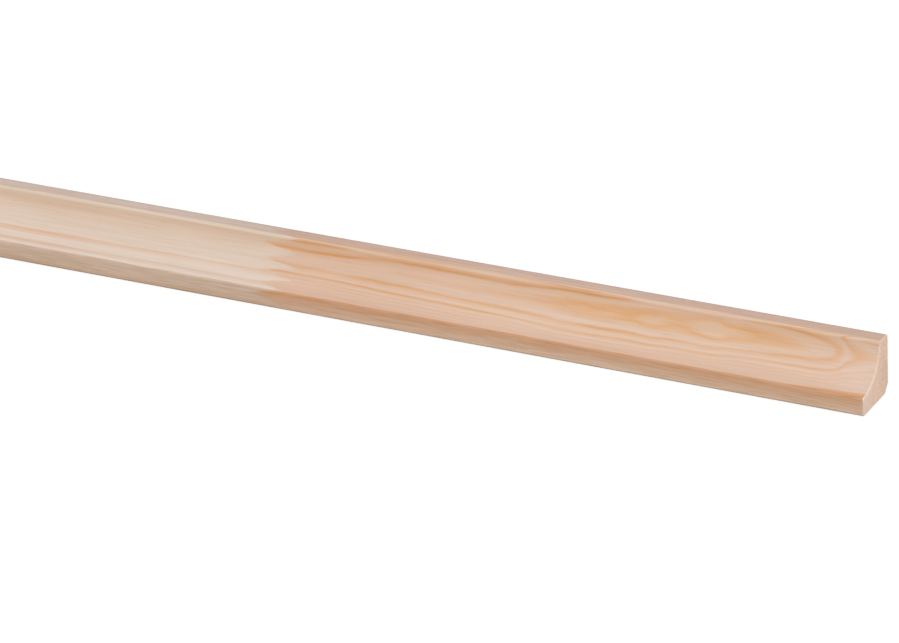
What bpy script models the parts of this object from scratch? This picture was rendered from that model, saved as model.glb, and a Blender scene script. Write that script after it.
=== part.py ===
"""Cove cornice moulding, one length of finger-jointed pine stock.

The length runs along X. The front, with its hollow, faces -Y. The wall face is the flat back at +Y
and the other fixing face lies on the ground at z = 0. The origin is the middle of that lower side.
"""

import math

import bmesh
import bpy

# Driving dimensions, in metres.
stock_length = 2.4
section_depth = 0.018
section_height = 0.018
# The hollow is a quarter round cut, centred on the front top corner of the section.
cove_radius = 0.012
# The cutter rounds the arris between each lip and the hollow.
arris_radius = 0.0008
# The back corner, hidden in the angle of the room, is cut away so that both faces seat.
back_chamfer = 0.0025
# The front lower and the back upper edges are only eased.
eased_radius = 0.0007

# Facets of the round stretches.
cove_facets = 32
arris_facets = 8
eased_facets = 4

# Finish of planed pine.
pine_colour = (0.78, 0.56, 0.40, 1.0)
pine_roughness = 0.55


def clear_scene():
    for thing in list(bpy.data.objects):
        bpy.data.objects.remove(thing, do_unlink=True)


def arc(centre, radius, first_angle, last_angle, facets):
    """Points (y, z) along an arc, both ends included, with angles measured from +Y towards +Z."""
    points = []
    for step in range(facets + 1):
        angle = first_angle + (last_angle - first_angle) * step / facets
        y = centre[0] + radius * math.cos(angle)
        z = centre[1] + radius * math.sin(angle)
        points.append((y, z))
    return points


def section_outline():
    """The section's outline (y, z), from the front lower corner up the front and over the top."""
    front = -section_depth / 2
    back = section_depth / 2
    corner = (front, section_height)

    # Each arris round touches its lip from inside and the hollow from outside. It stands one
    # arris radius behind its lip, and both radii away from the centre of the hollow.
    reach = math.sqrt((cove_radius + arris_radius) ** 2 - arris_radius ** 2)
    front_round = (front + arris_radius, section_height - reach)
    top_round = (front + reach, section_height - arris_radius)
    turn = math.asin(arris_radius / (cove_radius + arris_radius))
    quarter = math.pi / 2

    outline = [(front, 0.0)]
    outline += arc(front_round, arris_radius, 2 * quarter, quarter + turn, arris_facets)
    outline += arc(corner, cove_radius, turn - quarter, -turn, cove_facets)[1:-1]
    outline += arc(top_round, arris_radius, 2 * quarter - turn, quarter, arris_facets)
    outline += [(back, section_height), (back, 0.0)]
    return outline


def edges_along(mesh, y, z):
    """The long edges of the stock that pass through this place in the section."""
    close = 1e-6
    found = []
    for edge in mesh.edges:
        if all(abs(v.co.y - y) < close and abs(v.co.z - z) < close for v in edge.verts):
            found.append(edge)
    return found


def cut_corner(mesh, y, z, size, facets):
    """Bevels one long edge: flat with a single facet, round with more."""
    bmesh.ops.bevel(
        mesh,
        geom=edges_along(mesh, y, z),
        offset=size,
        offset_type="OFFSET",
        segments=facets,
        profile=0.5,
        affect="EDGES",
        material=-1,
    )


def moulded_stock():
    """The section, extruded along the length between two square sawn ends."""
    mesh = bmesh.new()
    sawn_end = [mesh.verts.new((-stock_length / 2, y, z)) for y, z in section_outline()]
    face = mesh.faces.new(sawn_end)
    grown = bmesh.ops.extrude_face_region(mesh, geom=[face], use_keep_orig=True)
    moved = [item for item in grown["geom"] if isinstance(item, bmesh.types.BMVert)]
    bmesh.ops.translate(mesh, vec=(stock_length, 0, 0), verts=moved)

    cut_corner(mesh, section_depth / 2, 0.0, back_chamfer, 1)
    cut_corner(mesh, -section_depth / 2, 0.0, eased_radius, eased_facets)
    cut_corner(mesh, section_depth / 2, section_height, eased_radius, eased_facets)
    bmesh.ops.recalc_face_normals(mesh, faces=mesh.faces)
    return mesh


def pine():
    finish = bpy.data.materials.new("planed_pine")
    finish.use_nodes = True
    shader = finish.node_tree.nodes["Principled BSDF"]
    shader.inputs["Base Color"].default_value = pine_colour
    shader.inputs["Roughness"].default_value = pine_roughness
    shader.inputs["Metallic"].default_value = 0.0
    return finish


def make_cornice_moulding():
    mesh = moulded_stock()
    data = bpy.data.meshes.new("cornice_moulding")
    mesh.to_mesh(data)
    mesh.free()
    data.materials.append(pine())
    data.shade_smooth()
    data.set_sharp_from_angle(angle=math.radians(30))
    moulding = bpy.data.objects.new("cornice_moulding", data)
    bpy.context.scene.collection.objects.link(moulding)
    return moulding


clear_scene()
make_cornice_moulding()
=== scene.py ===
"""A length of finger-jointed pine cornice moulding on a pale floor, with its hollow to the front."""
import math
from types import SimpleNamespace

import bmesh
import bpy
from mathutils import Matrix, Vector


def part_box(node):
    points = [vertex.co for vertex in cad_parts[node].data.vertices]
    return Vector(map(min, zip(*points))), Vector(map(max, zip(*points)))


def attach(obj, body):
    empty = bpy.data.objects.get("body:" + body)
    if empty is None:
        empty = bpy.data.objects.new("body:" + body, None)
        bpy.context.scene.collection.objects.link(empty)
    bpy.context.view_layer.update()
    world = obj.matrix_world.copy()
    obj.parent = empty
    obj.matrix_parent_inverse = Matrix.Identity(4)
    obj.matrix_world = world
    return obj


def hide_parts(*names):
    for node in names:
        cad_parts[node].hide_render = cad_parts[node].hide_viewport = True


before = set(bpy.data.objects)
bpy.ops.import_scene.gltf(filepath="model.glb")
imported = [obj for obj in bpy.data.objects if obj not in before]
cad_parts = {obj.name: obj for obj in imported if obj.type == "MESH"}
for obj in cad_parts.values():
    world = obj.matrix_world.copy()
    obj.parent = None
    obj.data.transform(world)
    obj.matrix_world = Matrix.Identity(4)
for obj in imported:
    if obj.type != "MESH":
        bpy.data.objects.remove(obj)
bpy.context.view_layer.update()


# Camera
# The sawn right-hand end is near the right edge of the picture, and the stock runs off to the left.
# The view comes from the front right, well above the floor, through a long lens.
stock_low, stock_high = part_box("cornice_moulding")
view_turn = math.radians(28.257)
view_fall = math.radians(25.992)
view_roll = math.radians(-2.906)
view_distance = 1.4923
picture_width, picture_height = 899, 643
focal_pixels = 5288.8
sensor_width = 36
# The end's lower front corner is seen here in the picture, in pixels from its top left corner.
corner_right, corner_down = 863.8, 417.2

looking = Vector((-math.sin(view_turn) * math.cos(view_fall),
                  math.cos(view_turn) * math.cos(view_fall),
                  -math.sin(view_fall)))
level_right = Vector((math.cos(view_turn), math.sin(view_turn), 0))
level_up = level_right.cross(looking)
to_right = math.cos(view_roll) * level_right + math.sin(view_roll) * level_up
to_top = math.cos(view_roll) * level_up - math.sin(view_roll) * level_right

metres_per_pixel = view_distance / focal_pixels
near_corner = Vector((stock_high.x, stock_low.y, stock_low.z))
camera_place = near_corner - view_distance * looking
camera_place -= (corner_right - picture_width / 2) * metres_per_pixel * to_right
camera_place += (corner_down - picture_height / 2) * metres_per_pixel * to_top

lens = bpy.data.cameras.new("camera")
lens.sensor_width = sensor_width
lens.lens = sensor_width * focal_pixels / picture_width
camera = bpy.data.objects.new("camera", lens)
facing = Matrix((to_right, to_top, -looking)).transposed()
camera.matrix_world = Matrix.Translation(camera_place) @ facing.to_4x4()
bpy.context.scene.collection.objects.link(camera)
bpy.context.scene.camera = camera


# Light and floor
# One broad lamp stands to the front right, and a weaker, low one lights the back, with no gloss of
# its own. A pale room lights everything else.
# The floor and the room look white to the camera, and the floor keeps the soft shadow of the stock.
scene = bpy.context.scene
scene.view_settings.view_transform = "Standard"

# Each lamp: its strength, its spread in degrees, the way towards it, and whether it shows in gloss.
lamps = {
    "broad_lamp": (2.35, 24, (0.74, -0.44, 0.51), True),
    "fill_lamp": (1.2, 30, (-0.5, 0.85, 0.08), False),
}
for name, (strength, spread, towards, shows_in_gloss) in lamps.items():
    lamp = bpy.data.lights.new(name, "SUN")
    lamp.energy = strength
    lamp.angle = math.radians(spread)
    lamp_object = bpy.data.objects.new(name, lamp)
    lamp_object.rotation_euler = Vector(towards).to_track_quat("Z", "Y").to_euler()
    lamp_object.visible_glossy = shows_in_gloss
    scene.collection.objects.link(lamp_object)


def seen_directly(tree):
    """1 for what the camera sees, also in a gloss or through glass, and 0 for what only lights."""
    path = tree.nodes.new("ShaderNodeLightPath")
    total = path.outputs["Is Camera Ray"]
    for ray in ("Is Glossy Ray", "Is Transmission Ray"):
        both = tree.nodes.new("ShaderNodeMath")
        both.operation = "MAXIMUM"
        tree.links.new(total, both.inputs[0])
        tree.links.new(path.outputs[ray], both.inputs[1])
        total = both.outputs[0]
    return total


white = (1, 1, 1, 1)
room_light_strength = 0.47
room = bpy.data.worlds.new("pale_room")
room.use_nodes = True
scene.world = room
room_tree = room.node_tree
room_light = room_tree.nodes["Background"]
room_light.inputs["Color"].default_value = white
room_light.inputs["Strength"].default_value = room_light_strength
room_white = room_tree.nodes.new("ShaderNodeBackground")
room_white.inputs["Color"].default_value = white
room_white.inputs["Strength"].default_value = 1.0
room_mix = room_tree.nodes.new("ShaderNodeMixShader")
room_tree.links.new(seen_directly(room_tree), room_mix.inputs["Fac"])
room_tree.links.new(room_light.outputs[0], room_mix.inputs[1])
room_tree.links.new(room_white.outputs[0], room_mix.inputs[2])
room_tree.links.new(room_mix.outputs[0], room_tree.nodes["World Output"].inputs["Surface"])

floor_reach = 60
floor_grey = (0.25, 0.25, 0.25, 1)
floor_glow = (0.80, 0.80, 0.80, 1)
floor_mesh = bmesh.new()
bmesh.ops.create_grid(floor_mesh, x_segments=1, y_segments=1, size=floor_reach)
floor_data = bpy.data.meshes.new("floor")
floor_mesh.to_mesh(floor_data)
floor_mesh.free()
floor = bpy.data.objects.new("floor", floor_data)
scene.collection.objects.link(floor)

floor_paint = bpy.data.materials.new("floor_white")
floor_paint.use_nodes = True
paint_tree = floor_paint.node_tree
matt = paint_tree.nodes["Principled BSDF"]
matt.inputs["Base Color"].default_value = floor_grey
matt.inputs["Roughness"].default_value = 1.0
matt.inputs["Specular IOR Level"].default_value = 0.0
matt.inputs["Emission Color"].default_value = floor_glow
paint_tree.links.new(seen_directly(paint_tree), matt.inputs["Emission Strength"])
floor_data.materials.append(floor_paint)


# Cornice moulding
# One length of stock, glued end to end from short pine boards with small finger joints, then run
# through the moulder with its hollow in the wide face of the blank. Both ends are sawn square.
# The figure of the wood is in millimetres: from the right-hand end, from the front and from below.
millimetres = 1000
stock_length = round((stock_high.x - stock_low.x) * millimetres, 3)
section = round((stock_high.z - stock_low.z) * millimetres, 3)
hollow_radius = 12
lip_height = section - hollow_radius

# Where the boards are joined, and the fingers of the joints.
joints = (195.4, 640, 905, 1350, 1712, 2130)
finger_pitch = 4.12
finger_length = 10.6
finger_start = 0.72
finger_raggedness = 6
glue_blend = 2.6

# Each board: colour of its early wood, how strongly its rings show, the way the rings face in the
# section (degrees), how far its heart wanders, how wide its rings are, and the year it starts at.
boards = (
    ((0.782, 0.565, 0.442), 1.00, -21.7, 0.00, 1.00, 0.00),
    ((0.78, 0.643, 0.545), 0.55, 35.0, 0.00, 3.90, 4.98),
    ((0.74, 0.55, 0.41), 0.75, -48.0, 0.45, 1.50, 1.20),
    ((0.76, 0.57, 0.44), 0.55, 35.0, 0.30, 2.00, 7.30),
    ((0.74, 0.51, 0.36), 0.90, -62.0, 0.60, 1.40, 3.10),
    ((0.77, 0.60, 0.47), 0.45, 5.0, 0.25, 2.60, 8.60),
    ((0.75, 0.54, 0.39), 0.80, -30.0, 0.50, 1.50, 4.40),
)

# Years of growth: ring width and how much of it is late wood, both in millimetres, how dark the
# late wood is, and how pale the early wood before it.
years = (
    (1.00, 0.30, 0.15, 0.0),
    (1.30, 0.50, 0.30, 0.0),
    (0.75, 0.30, 0.20, 0.0),
    (1.00, 0.40, 0.25, 0.1),
    (1.05, 0.50, 0.55, 0.1),
    (0.85, 0.40, 0.50, 0.2),
    (1.01, 0.70, 0.95, 0.6),
    (0.94, 0.66, 1.00, 0.6),
    (0.67, 0.42, 0.80, 0.6),
    (1.05, 0.55, 0.90, 0.9),
)
years_span = sum(year[0] for year in years)
# Late wood darkens slowly and ends sharply: its darkest place is this share of it from its end.
darkest = 0.3
# The rings stand at zero where the eighth year's late wood is darkest.
zero_ring = sum(year[0] for year in years[:8]) - darkest * years[7][1]

# How the figure runs along the stock, as points of (distance from the end, value): the drift of the
# first board's rings in millimetres, the turn of the way all rings face in degrees, how closely the
# first board's crowd, and how dark all late wood is.
drift = ((0, 13.3), (8.5, 12.75), (12, 12.0), (17.5, 11.62), (25, 11.40), (31, 11.28), (38, 11.2),
         (46, 11.12), (51, 11.0), (57, 11.12), (64, 11.2), (69, 11.14), (79, 11.26), (98, 11.27),
         (104, 11.36), (137, 11.46), (180, 11.67))
lean = ((0, -1), (13, -3), (18, -3), (25, -1.4), (51, -1), (73, -3), (106, -6), (137, -4.3),
        (159, -3.5), (172, -5), (205, -5), (252, 0))
crowding = ((0, 1.0), (30, 1.0), (50, 0.86), (65, 0.78), (95, 0.78), (112, 0.93), (125, 1.0),
            (148, 1.0), (172, 1.3))
darkening = ((0, 0.7), (7, 0.7), (13, 0.6), (165, 0.65), (203, 0.6), (225, 0.5), (240, 0.5),
             (262, 0.8), (290, 0.85))
# The later boards' rings drift once, between two distances, from one value to the other.
later_drift = (225, 255, 13.0, 11.85)
# How far a board's heart swings from side to side if its wander is 1, and the two wobbles that all
# rings have: their length along the grain, their height, their place in the noise and their amount.
heart_swing = 22
wobbles = ((26, 5, 7.3, 0.30), (8, 2.4, 11.9, 0.16))
# Early wood starts at this share of its paleness, and late wood at this share of its darkness.
first_paleness = 0.6
first_darkness = 0.1
# How far the fibres wave to either side, and how far along they shift for each millimetre of depth
# and of height.
fibre_wave = 0.8
depth_shift, height_shift = 1.3, 2.1


def calc(tree, operation, *feeds):
    """A Math node on sockets or plain numbers."""
    made = tree.nodes.new("ShaderNodeMath")
    made.operation = operation
    for slot, feed in zip(made.inputs, feeds):
        if isinstance(feed, (int, float)):
            slot.default_value = feed
        else:
            tree.links.new(feed, slot)
    return made.outputs[0]


def product(tree, *feeds):
    """All the feeds multiplied. Of masks, it is 1 only where every one of them is 1."""
    total = feeds[0]
    for feed in feeds[1:]:
        total = calc(tree, "MULTIPLY", total, feed)
    return total


def rest(tree, mask):
    """All that the mask leaves: 1 where it is 0."""
    return calc(tree, "SUBTRACT", 1, mask)


def either(tree, share, there, elsewhere):
    """One value where the share is 1, the other where it is 0, and both mixed between."""
    return calc(tree, "MULTIPLY_ADD", calc(tree, "SUBTRACT", there, elsewhere), share, elsewhere)


def fainter(tree, value, mask, share):
    """The value, less this share of itself where the mask is 1."""
    return product(tree, value, calc(tree, "MULTIPLY_ADD", mask, -share, 1))


def between(tree, value, low, high, start=0.0, end=1.0):
    """The value's way from low to high, eased, as a number from start to end."""
    made = tree.nodes.new("ShaderNodeMapRange")
    made.interpolation_type = "SMOOTHSTEP"
    tree.links.new(value, made.inputs["Value"])
    for name, number in (("From Min", low), ("From Max", high), ("To Min", start), ("To Max", end)):
        made.inputs[name].default_value = number
    return made.outputs["Result"]


def patchy(tree, place, along, across, seed, depth=2.0):
    """Soft patches from 0 to 1, drawn out along the grain; both sizes in millimetres."""
    stretched = tree.nodes.new("ShaderNodeVectorMath")
    stretched.operation = "MULTIPLY_ADD"
    tree.links.new(place, stretched.inputs[0])
    stretched.inputs[1].default_value = (1 / along, 1 / across, 1 / across)
    stretched.inputs[2].default_value = (seed, seed * 1.7, seed * 2.3)
    cloud = tree.nodes.new("ShaderNodeTexNoise")
    cloud.inputs["Scale"].default_value = 1.0
    cloud.inputs["Detail"].default_value = depth
    tree.links.new(stretched.outputs[0], cloud.inputs["Vector"])
    return cloud.outputs["Fac"]


def bands(tree, value, stops):
    """A ramp from stops of (position, colour); a board, a ring or a height is a band in it."""
    made = tree.nodes.new("ShaderNodeValToRGB")
    ramp = made.color_ramp
    ramp.elements[0].position, ramp.elements[0].color = stops[0]
    ramp.elements[1].position, ramp.elements[1].color = stops[-1]
    for position, colour in stops[1:-1]:
        ramp.elements.new(position).color = colour
    tree.links.new(value, made.inputs["Fac"])
    return made.outputs


def drawn(tree, value, points):
    """A smooth line through points of (distance from the end, height), read at the value."""
    reach = points[-1][0]
    low = min(height for distance, height in points)
    span = max(height for distance, height in points) - low
    made = tree.nodes.new("ShaderNodeFloatCurve")
    made.mapping.extend = "HORIZONTAL"
    line = made.mapping.curves[0].points
    scaled = [(distance / reach, (height - low) / span) for distance, height in points]
    line[0].location, line[1].location = scaled[0], scaled[-1]
    for point in scaled[1:-1]:
        line.new(*point)
    for point in line:
        point.handle_type = "AUTO_CLAMPED"
    made.mapping.update()
    tree.links.new(calc(tree, "DIVIDE", value, reach), made.inputs["Value"])
    return calc(tree, "MULTIPLY_ADD", made.outputs[0], span, low)


def tinted(tree, colour, amount, tint):
    """The colour, multiplied by the tint as far as the amount says."""
    mix = tree.nodes.new("ShaderNodeMix")
    mix.data_type = "RGBA"
    mix.blend_type = "MULTIPLY"
    mix.clamp_factor = True
    tree.links.new(amount, mix.inputs["Factor"])
    tree.links.new(colour, mix.inputs[6])
    if isinstance(tint, tuple):
        mix.inputs[7].default_value = (*tint, 1)
    else:
        tree.links.new(tint, mix.inputs[7])
    return mix.outputs[2]


def spot_in_wood(tree):
    """Where a point is in the wood, in millimetres, and where it is along the waving fibres."""
    seen = tree.nodes.new("ShaderNodeTexCoord")
    enlarged = tree.nodes.new("ShaderNodeVectorMath")
    enlarged.operation = "MULTIPLY_ADD"
    tree.links.new(seen.outputs["Object"], enlarged.inputs[0])
    enlarged.inputs[1].default_value = (millimetres, millimetres, millimetres)
    enlarged.inputs[2].default_value = (0, section / 2, 0)
    place = enlarged.outputs[0]
    parts = tree.nodes.new("ShaderNodeSeparateXYZ")
    tree.links.new(place, parts.inputs[0])
    x, y, z = parts.outputs
    from_end = calc(tree, "SUBTRACT", stock_length / 2, x)

    # Neighbouring fibres start and end at other places along the stock, and they run in slow waves.
    wave = patchy(tree, place, along=55, across=9, seed=5.7, depth=1.0)
    wave = calc(tree, "MULTIPLY_ADD", wave, 2 * fibre_wave, -fibre_wave)
    shifted = calc(tree, "MULTIPLY_ADD", z, height_shift, x)
    shifted = calc(tree, "MULTIPLY_ADD", y, depth_shift, shifted)
    waved = tree.nodes.new("ShaderNodeCombineXYZ")
    tree.links.new(shifted, waved.inputs["X"])
    tree.links.new(calc(tree, "ADD", y, wave), waved.inputs["Y"])
    tree.links.new(calc(tree, "ADD", z, wave), waved.inputs["Z"])
    return SimpleNamespace(place=place, grain=waved.outputs[0], from_end=from_end, y=y, z=z)


def faces_at(tree, spot):
    """Masks of the moulded faces, and the distance from the corner that the hollow is cut round."""
    in_section = tree.nodes.new("ShaderNodeCombineXYZ")
    tree.links.new(spot.y, in_section.inputs["Y"])
    tree.links.new(spot.z, in_section.inputs["Z"])
    corner = tree.nodes.new("ShaderNodeVectorMath")
    corner.operation = "DISTANCE"
    tree.links.new(in_section.outputs[0], corner.inputs[0])
    corner.inputs[1].default_value = (0, 0, section)
    from_corner = corner.outputs["Value"]

    # Each mask fades out over a few tenths of a millimetre at the edge of its face.
    hollow = between(tree, from_corner, hollow_radius + 0.35, hollow_radius + 0.05)
    front = between(tree, spot.y, 0.9, 0.6)
    lip = product(tree, front, between(tree, from_corner, hollow_radius + 0.01, hollow_radius + 0.13))
    flats = between(tree, from_corner, hollow_radius + 0.85, hollow_radius + 1.35)
    top = product(tree, flats, between(tree, spot.z, section - 0.5, section - 0.2))
    lips = calc(tree, "MAXIMUM", top, front)
    plain = calc(tree, "SUBTRACT", flats, calc(tree, "MINIMUM", lips, flats))
    return SimpleNamespace(from_corner=from_corner, hollow=hollow, front=front, lip=lip, top=top,
                           lips=lips, plain=plain)


def board_at(tree, spot):
    """The board at a spot: its early wood's colour, its rings' traits, and how many came before."""
    # The fingers of the joints reach along the stock and follow each other across the blank,
    # which lay flat at 45 degrees to the finished section.
    across = product(tree, calc(tree, "ADD", spot.y, spot.z), math.sqrt(0.5))
    tooth = calc(tree, "PINGPONG", calc(tree, "SUBTRACT", across, finger_start), finger_pitch / 2)
    reach = calc(tree, "MULTIPLY_ADD", tooth, 2 * finger_length / finger_pitch, -finger_length / 2)
    along = calc(tree, "SUBTRACT", spot.from_end, reach)
    ragged = patchy(tree, spot.place, along=5, across=1.6, seed=17.3)
    along = calc(tree, "MULTIPLY_ADD", ragged, finger_raggedness, along)
    number = 0
    for joint in joints:
        passed = between(tree, along, joint - glue_blend, joint + glue_blend)
        number = calc(tree, "ADD", passed, number)

    last = len(joints)
    tones = []
    traits = []
    for board, (colour, strength, facing, wander, width, first_year) in enumerate(boards):
        tones.append((board / last, (*colour, strength)))
        traits.append((board / last, (facing / 180 + 0.5, wander, 1 / width, first_year / years_span)))
    toned = bands(tree, calc(tree, "DIVIDE", number, last), tones)
    trait = bands(tree, calc(tree, "DIVIDE", calc(tree, "ROUND", number), last), traits)
    parts = tree.nodes.new("ShaderNodeSeparateColor")
    tree.links.new(trait["Color"], parts.inputs[0])
    facing, wander, closeness = parts.outputs
    return SimpleNamespace(colour=toned["Color"], strength=toned["Alpha"], facing=facing,
                           wander=wander, closeness=closeness, first_year=trait["Alpha"],
                           number=number)


def across_rings(tree, spot, board):
    """How far a spot lies across the rings from where they stand at zero, in millimetres."""
    first = rest(tree, calc(tree, "MINIMUM", calc(tree, "ROUND", board.number), 1))
    angle = product(tree, calc(tree, "SUBTRACT", board.facing, 0.5), math.pi)
    angle = calc(tree, "MULTIPLY_ADD", drawn(tree, spot.from_end, lean), math.radians(1), angle)
    by_depth = product(tree, spot.y, calc(tree, "COSINE", angle))
    by_height = product(tree, calc(tree, "SUBTRACT", spot.z, section), calc(tree, "SINE", angle))
    distance = calc(tree, "SUBTRACT", calc(tree, "ADD", by_depth, by_height), hollow_radius)
    closer = either(tree, first, drawn(tree, spot.from_end, crowding), 1)
    distance = calc(tree, "MULTIPLY_ADD", distance, closer, hollow_radius)
    first_drifts = drawn(tree, spot.from_end, drift)
    later_drifts = between(tree, spot.from_end, *later_drift)
    distance = calc(tree, "SUBTRACT", distance, either(tree, first, first_drifts, later_drifts))

    swing = patchy(tree, spot.place, along=150, across=200, seed=3.1, depth=1.0)
    swing = product(tree, calc(tree, "SUBTRACT", swing, 0.5), board.wander, heart_swing)
    distance = calc(tree, "ADD", distance, swing)
    for length, height, seed, amount in wobbles:
        wobble = calc(tree, "SUBTRACT", patchy(tree, spot.place, length, height, seed), 0.5)
        distance = calc(tree, "MULTIPLY_ADD", wobble, amount, distance)
    return distance


def growth(tree, spot, board):
    """Late wood and pale early wood at a spot, each from 0 to 1, through the whole thickness."""
    rings = calc(tree, "MULTIPLY_ADD", across_rings(tree, spot, board), board.closeness, zero_ring)
    turn = calc(tree, "ADD", calc(tree, "DIVIDE", rings, years_span), board.first_year)
    stops = []
    start = 0
    for width, late_width, darkness, paleness in years:
        late_start = start + width - late_width
        late_full = start + width - late_width * darkest
        stops.append((start / years_span, (0, paleness * first_paleness, 0, 1)))
        stops.append((late_start / years_span, (darkness * first_darkness, paleness, 0, 1)))
        stops.append((late_full / years_span, (darkness, 0, 0, 1)))
        start += width
    wood = tree.nodes.new("ShaderNodeSeparateColor")
    tree.links.new(bands(tree, calc(tree, "FRACT", turn), stops)["Color"], wood.inputs[0])

    denser = between(tree, spot.z, 9, 15.5, 1.15, 1.3)
    patches = patchy(tree, spot.place, along=30, across=3.5, seed=23.7)
    uneven = between(tree, patches, 0.3, 0.7, 0.7, 1.25)
    darkened = drawn(tree, spot.from_end, darkening)
    late = product(tree, wood.outputs["Red"], denser, uneven, darkened, board.strength)
    return late, product(tree, wood.outputs["Green"], board.strength)


# Tints that multiply the wood's colour, and places where a mark comes in, from none to all of it.
pale_early_wood = (1.04, 1.11, 1.18)
orange_late_wood = (1.0, 0.82, 0.58)
red_late_wood = (0.94, 0.66, 0.48)
dense_late_wood = (0.84, 0.74, 0.62)
pale_foot = (1.05, 1.09, 1.16)
brown_stretch = (0.965, 0.935, 0.91)
foot_of_hollow = (2.0, 1.2)
faint_on_lips = (160, 145)
browner_to_joint = (115, 170)


def rings_coloured(tree, spot, faces, board, first):
    """The colour that the rings give the wood, and its late wood as the surface shows it."""
    late, pale = growth(tree, spot, board)
    # Late wood is faint on the lips and the hidden faces, and at the foot of the paler boards.
    beside = product(tree, faces.lips, rest(tree, faces.hollow),
                     between(tree, spot.from_end, *faint_on_lips))
    foot = product(tree, between(tree, spot.y, *foot_of_hollow), rest(tree, first))
    late = fainter(tree, late, faces.top, 0.6)
    late = fainter(tree, late, faces.plain, 0.55)
    late = fainter(tree, late, beside, 0.6)
    late = fainter(tree, late, product(tree, faces.lip, first), 0.8)
    late = fainter(tree, late, foot, 0.8)

    colour = tinted(tree, board.colour, pale, pale_early_wood)
    colour = tinted(tree, colour, product(tree, foot, faces.hollow), pale_foot)
    # The first board is browner towards its joint.
    browner = product(tree, between(tree, spot.from_end, *browner_to_joint), first)
    colour = tinted(tree, colour, browner, brown_stretch)
    # Late wood is orange in the first board and redder in the others, and brown where it is densest.
    late_first = product(tree, late, first)
    late_others = calc(tree, "SUBTRACT", late, late_first)
    colour = tinted(tree, colour, product(tree, late_first, 1.3), orange_late_wood)
    colour = tinted(tree, colour, product(tree, late_others, 1.3), red_late_wood)
    colour = tinted(tree, colour, between(tree, late, 0.5, 1.2), dense_late_wood)
    return colour, late


# The front lip's painted warm light and shade, from its foot up to its arris, on the first board and
# on the others.
first_lip_light_and_shade = (
    (0.00, (1.07, 1.05, 1.02, 1)),
    (0.39, (0.98, 0.89, 0.83, 1)),
    (0.70, (0.95, 0.76, 0.62, 1)),
    (0.87, (0.93, 0.72, 0.56, 1)),
    (0.94, (0.82, 0.62, 0.47, 1)),
    (1.00, (0.80, 0.60, 0.45, 1)),
)
other_lips_light_and_shade = (
    (0.00, (0.90, 0.74, 0.63, 1)),
    (0.43, (0.96, 0.885, 0.82, 1)),
    (0.87, (0.98, 0.94, 0.92, 1)),
    (0.94, (0.86, 0.80, 0.76, 1)),
    (1.00, (0.85, 0.79, 0.75, 1)),
)
# Tints of the planed faces, and places where their marks come in.
# Painted light on the front lip.
first_lip_painted_light = (1.09, 1.13, 1.11)
other_lips_painted_light = (1.06, 1.03, 0.99)
# Painted warm light on the upper hollow.
painted_warm_light_under_lip = (1.05, 0.985, 0.90)
yellow_heart = (1.0, 0.965, 0.88)
# Painted shade on the top lip.
top_painted_shade = (0.80, 0.755, 0.775)
warm_edge = (1.03, 1.0, 0.92)
pale_end = (1.02, 1.06, 1.12)
orange_streak = (0.95, 0.73, 0.54)
# Painted shade on the eased back edge of the top lip and at the foot of the front lip.
painted_edge_shade = (0.83, 0.81, 0.81)
dark_streaks = (0.90, 0.85, 0.78)
up_to_lip = (9.5, 16.0)
heart_heights = (9.8, 11.6), (16.4, 15.0)
heart_lengths = (108, 94), (14, 28)
forward_on_top = (16.5, 12.5)
to_the_end = (13, 4)
streak_reach = (2.5, 1.9)
streak_slope = 0.08
back_edge = (16.8, 17.2)
front_foot = (0.9, 0.4)


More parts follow.
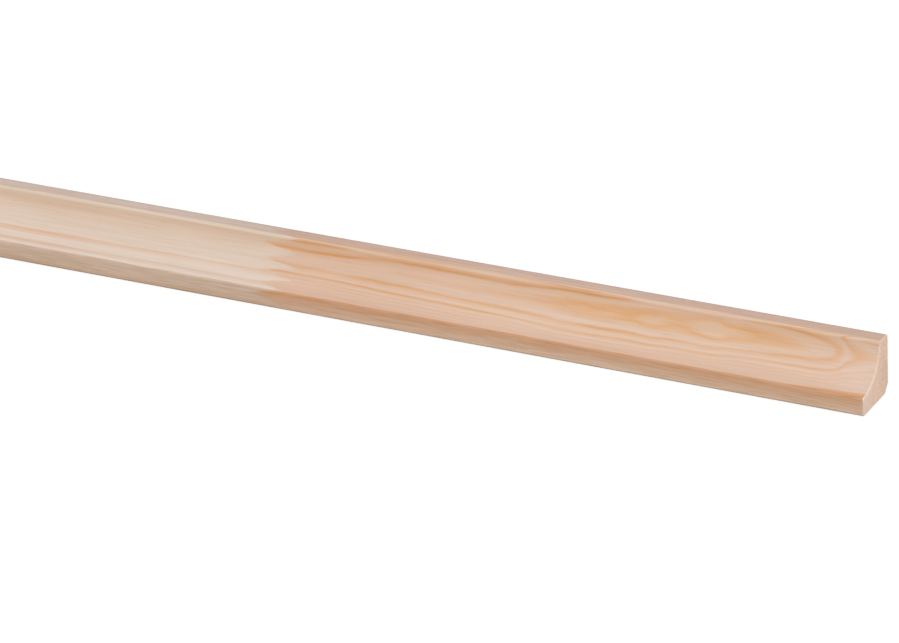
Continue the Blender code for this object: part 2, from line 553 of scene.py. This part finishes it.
def planed(tree, colour, spot, faces, first):
    """The colour on the planed faces: painted warm light, shade and highlights on the hollow, the lips
    and the eased edges, and the first board's yellower heart.
    """
    # The upper hollow, under the top lip, is painted yellower as painted warm light, and the first
    # board's heart is yellower still.
    under_lip = product(tree, between(tree, spot.z, *up_to_lip), faces.hollow)
    colour = tinted(tree, colour, under_lip, painted_warm_light_under_lip)
    bounds = [between(tree, spot.z, *heights) for heights in heart_heights]
    bounds += [between(tree, spot.from_end, *lengths) for lengths in heart_lengths]
    colour = tinted(tree, colour, product(tree, *bounds), yellow_heart)

    # The top lip is painted darker and greyer as painted shade, less so beside the hollow. The shade
    # fades in a little way back from the arris, which leaves a lighter strip there as a painted
    # highlight.
    colour = tinted(tree, colour, faces.top, top_painted_shade)
    warmer = product(tree, between(tree, spot.y, *forward_on_top), faces.top)
    colour = tinted(tree, colour, warmer, warm_edge)

    # The last few millimetres are paler, with one orange streak along the foot of the hollow.
    near_end = product(tree, between(tree, spot.from_end, *to_the_end), rest(tree, faces.lips))
    colour = tinted(tree, colour, near_end, pale_end)
    slanted = calc(tree, "MULTIPLY_ADD", spot.from_end, streak_slope, spot.y)
    streak = product(tree, between(tree, slanted, *streak_reach), faces.hollow)
    colour = tinted(tree, colour, streak, orange_streak)

    # The front lip is painted warmer and darker as painted warm light and shade, most of all under its
    # arris.
    height = calc(tree, "DIVIDE", spot.z, lip_height)
    on_first = product(tree, faces.lip, first)
    colour = tinted(tree, colour, on_first, first_lip_painted_light)
    colour = tinted(tree, colour, on_first, bands(tree, height, first_lip_light_and_shade)["Color"])
    on_others = calc(tree, "SUBTRACT", faces.lip, on_first)
    colour = tinted(tree, colour, on_others, other_lips_painted_light)
    colour = tinted(tree, colour, on_others, bands(tree, height, other_lips_light_and_shade)["Color"])

    # The two eased edges that show, behind the top lip and below the front one, are painted darker:
    # painted shade.
    eased = product(tree, between(tree, spot.y, *back_edge), faces.top)
    below = between(tree, spot.z, *front_foot, 0, 0.6)
    eased = calc(tree, "MULTIPLY_ADD", below, faces.front, eased)
    colour = tinted(tree, colour, eased, painted_edge_shade)
    # Both lips have short dark streaks along the grain, fainter on the top one.
    streaks = between(tree, patchy(tree, spot.grain, along=10, across=0.42, seed=31.7), 0.42, 0.64)
    streaked = calc(tree, "MULTIPLY_ADD", faces.top, 0.6, faces.lip)
    return tinted(tree, colour, product(tree, streaks, streaked), dark_streaks)


# Tints of the sawn ends, and places where their marks come in.
dark_pores = (0.90, 0.87, 0.84)
pale_front = (0.985, 1.05, 1.13)
# Painted highlight along the rim by the hollow.
rim_painted_highlight = (1.04, 1.08, 1.15)
grey_low_back = (0.92, 0.95, 1.0)
towards_back = (6, 16)
towards_front = (9, 1)
towards_rim = (14.0, 12.8)
low_back = (11, 17), (11, 7)


def sawn(tree, colour, spot, faces, pores):
    """The colour as it is on a sawn end, which is darker and greyer towards the back."""
    # The cut pores are darker spots and the front is paler, and the rim along the hollow is painted
    # paler as a painted highlight.
    stronger = between(tree, spot.y, *towards_back, 0.3, 1)
    colour = tinted(tree, colour, product(tree, pores, stronger), dark_pores)
    colour = tinted(tree, colour, between(tree, spot.y, *towards_front), pale_front)
    colour = tinted(tree, colour, between(tree, faces.from_corner, *towards_rim), rim_painted_highlight)
    back, low = low_back
    greyer = product(tree, between(tree, spot.y, *back), between(tree, spot.z, *low))
    return tinted(tree, colour, greyer, grey_low_back)


# Tints of the fibres, of the broad drifts of tone and of the resin ducts, and the ranges of gloss.
fibre_tint = (0.91, 0.87, 0.81)
drift_tint = (0.97, 0.95, 0.92)
duct_tint = (0.75, 0.62, 0.50)
planed_roughness = (0.42, 0.54)
sawn_roughness = (0.72, 0.85)
groove_depth = 0.00003


def pine(name, sawn_across):
    """Planed pine with growth rings through its whole thickness, or the same wood sawn across."""
    finish = bpy.data.materials.new(name)
    finish.use_nodes = True
    tree = finish.node_tree
    shader = tree.nodes["Principled BSDF"]
    spot = spot_in_wood(tree)
    faces = faces_at(tree, spot)
    board = board_at(tree, spot)
    first = rest(tree, calc(tree, "MINIMUM", board.number, 1))
    colour, late = rings_coloured(tree, spot, faces, board, first)
    if not sawn_across:
        colour = planed(tree, colour, spot, faces, first)

    # Fine fibres, broad drifts of tone, and now and then a short brown resin duct.
    fibres = patchy(tree, spot.grain, along=24, across=0.5, seed=41.3)
    colour = tinted(tree, colour, between(tree, fibres, 0.3, 0.7, 0, 0.6), fibre_tint)
    broad = patchy(tree, spot.place, along=60, across=6, seed=57.1, depth=1.0)
    colour = tinted(tree, colour, between(tree, broad, 0.35, 0.7, 0, 0.5), drift_tint)
    ducts = patchy(tree, spot.grain, along=3.0, across=0.3, seed=73.9, depth=0.0)
    colour = tinted(tree, colour, between(tree, ducts, 0.78, 0.86, 0, 0.4), duct_tint)
    roughness = between(tree, fibres, 0.3, 0.7, *planed_roughness)
    if sawn_across:
        pores = between(tree, patchy(tree, spot.place, along=1, across=0.9, seed=63.1), 0.4, 0.65)
        colour = sawn(tree, colour, spot, faces, pores)
        roughness = between(tree, pores, 0, 1, *sawn_roughness)
    tree.links.new(colour, shader.inputs["Base Color"])
    tree.links.new(roughness, shader.inputs["Roughness"])
    shader.inputs["Specular IOR Level"].default_value = 0.5

    # Late wood stands a hair proud of the planed surface, and the fibres leave fine grooves.
    relief = calc(tree, "MULTIPLY_ADD", fibres, 0.6, product(tree, late, 0.4))
    bump = tree.nodes.new("ShaderNodeBump")
    bump.inputs["Strength"].default_value = 0.5
    bump.inputs["Distance"].default_value = groove_depth
    tree.links.new(relief, bump.inputs["Height"])
    tree.links.new(bump.outputs[0], shader.inputs["Normal"])
    return finish


# The mesh is the solid's own, with its triangles merged into whole flat faces again.
same_place = 1e-6
stock = bmesh.new()
stock.from_mesh(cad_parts["cornice_moulding"].data)
bmesh.ops.remove_doubles(stock, verts=stock.verts, dist=same_place)
bmesh.ops.dissolve_limit(stock, angle_limit=math.radians(0.2), verts=stock.verts, edges=stock.edges)

# The surface is laid out for its texture map in rows of equal length, one above the other, each
# unrolled round the section from the foot of the back chamfer. Both ends lie beside the rows.
map_rows = 6
map_gap = 0.006
ends_from = 0.95
row_length = (stock_high.x - stock_low.x) / map_rows
for row in range(1, map_rows):
    everything = stock.verts[:] + stock.edges[:] + stock.faces[:]
    bmesh.ops.bisect_plane(stock, geom=everything, dist=same_place,
                           plane_co=(stock_low.x + row * row_length, 0, 0), plane_no=(1, 0, 0))
end_faces = [face for face in stock.faces if abs(face.normal.x) > 0.9]
corners = [loop.vert.co.copy() for loop in end_faces[0].loops]
seam = max(range(len(corners)), key=lambda number: corners[number].y - 2 * corners[number].z)
corners = corners[seam:] + corners[:seam]
walked = [0]
for point, following in zip(corners, corners[1:] + corners[:1]):
    walked.append(walked[-1] + (following - point).length)
girth = walked.pop()


def way_round(point):
    """How far round the section a point lies, from 0 to 1, by the corner nearest to it."""
    apart = [(corner.yz - point.yz).length for corner in corners]
    return walked[apart.index(min(apart))] / girth


layout = stock.loops.layers.uv.new("OFBake")
for face in stock.faces:
    middle = face.calc_center_median()
    row = int((middle.x - stock_low.x) / row_length)
    ways_round = [way_round(loop.vert.co) for loop in face.loops]
    for loop, around in zip(face.loops, ways_round):
        point = loop.vert.co
        if face in end_faces:
            sideways = (point.y - stock_low.y) / girth / map_rows
            upwards = (point.z - stock_low.z) / girth / map_rows
            loop[layout].uv = (ends_from + sideways, upwards + (0.5 if middle.x > 0 else 0))
            continue
        along = (point.x - stock_low.x) / row_length - row
        if around == 0 and max(ways_round) > 0.5:
            around = 1
        loop[layout].uv = (along * (ends_from - map_gap),
                           (row + around * (1 - map_gap * map_rows)) / map_rows)

# The sawn ends are rubbed down: their edge is eased all round.
end_easing = 0.00035
planed_wood, sawn_wood = 0, 1
end_edges = {edge for face in end_faces for edge in face.edges}
for face in stock.faces:
    face.smooth = face not in end_faces
    face.material_index = sawn_wood if face in end_faces else planed_wood
bmesh.ops.bevel(stock, geom=list(end_edges), offset=end_easing, offset_type="OFFSET",
                segments=2, profile=0.5, affect="EDGES", material=-1)
for face in stock.faces:
    if abs(face.normal.x) > 0.1:
        face.material_index = sawn_wood

moulding_data = bpy.data.meshes.new("pine_moulding")
stock.to_mesh(moulding_data)
stock.free()
moulding_data.set_sharp_from_angle(angle=math.radians(35))
moulding_data.materials.append(pine("planed_pine", sawn_across=False))
moulding_data.materials.append(pine("sawn_pine", sawn_across=True))
moulding = bpy.data.objects.new("pine_moulding", moulding_data)
scene.collection.objects.link(moulding)
# The flats stay flat in the light, and only the rounds between them shade softly.
even_flats = moulding.modifiers.new("even_flats", "WEIGHTED_NORMAL")
even_flats.keep_sharp = True
even_flats.weight = 100
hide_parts("cornice_moulding")
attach(moulding, "root")
